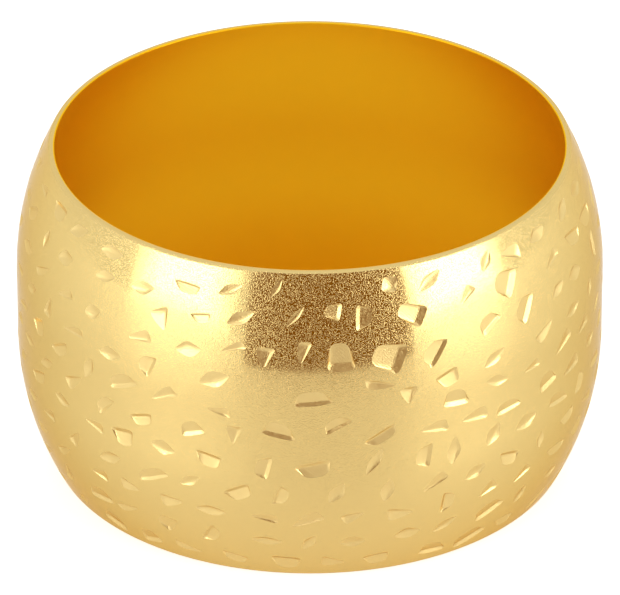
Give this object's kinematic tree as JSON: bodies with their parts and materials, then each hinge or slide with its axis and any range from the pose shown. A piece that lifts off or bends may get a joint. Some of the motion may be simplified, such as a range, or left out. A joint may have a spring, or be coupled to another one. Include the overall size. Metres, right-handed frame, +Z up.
{
  "type": "napkin ring",
  "caption": "Barrel-shaped metal band, open at both ends, with a smooth inside and faceted punch marks all over its outside, for holding a rolled napkin.",
  "frame": {"origin": "centre of the plane of the lower rim, on which the ring stands", "axes": "+Z up the ring's own axis; -Y towards the side that faces the viewer"},
  "size_m": [0.05, 0.05, 0.0292],
  "materials": {
    "gold_metal": "satin"
  },
  "bodies": {
    "root": {"ring_band": "gold_metal"}
  },
  "joints": []
}
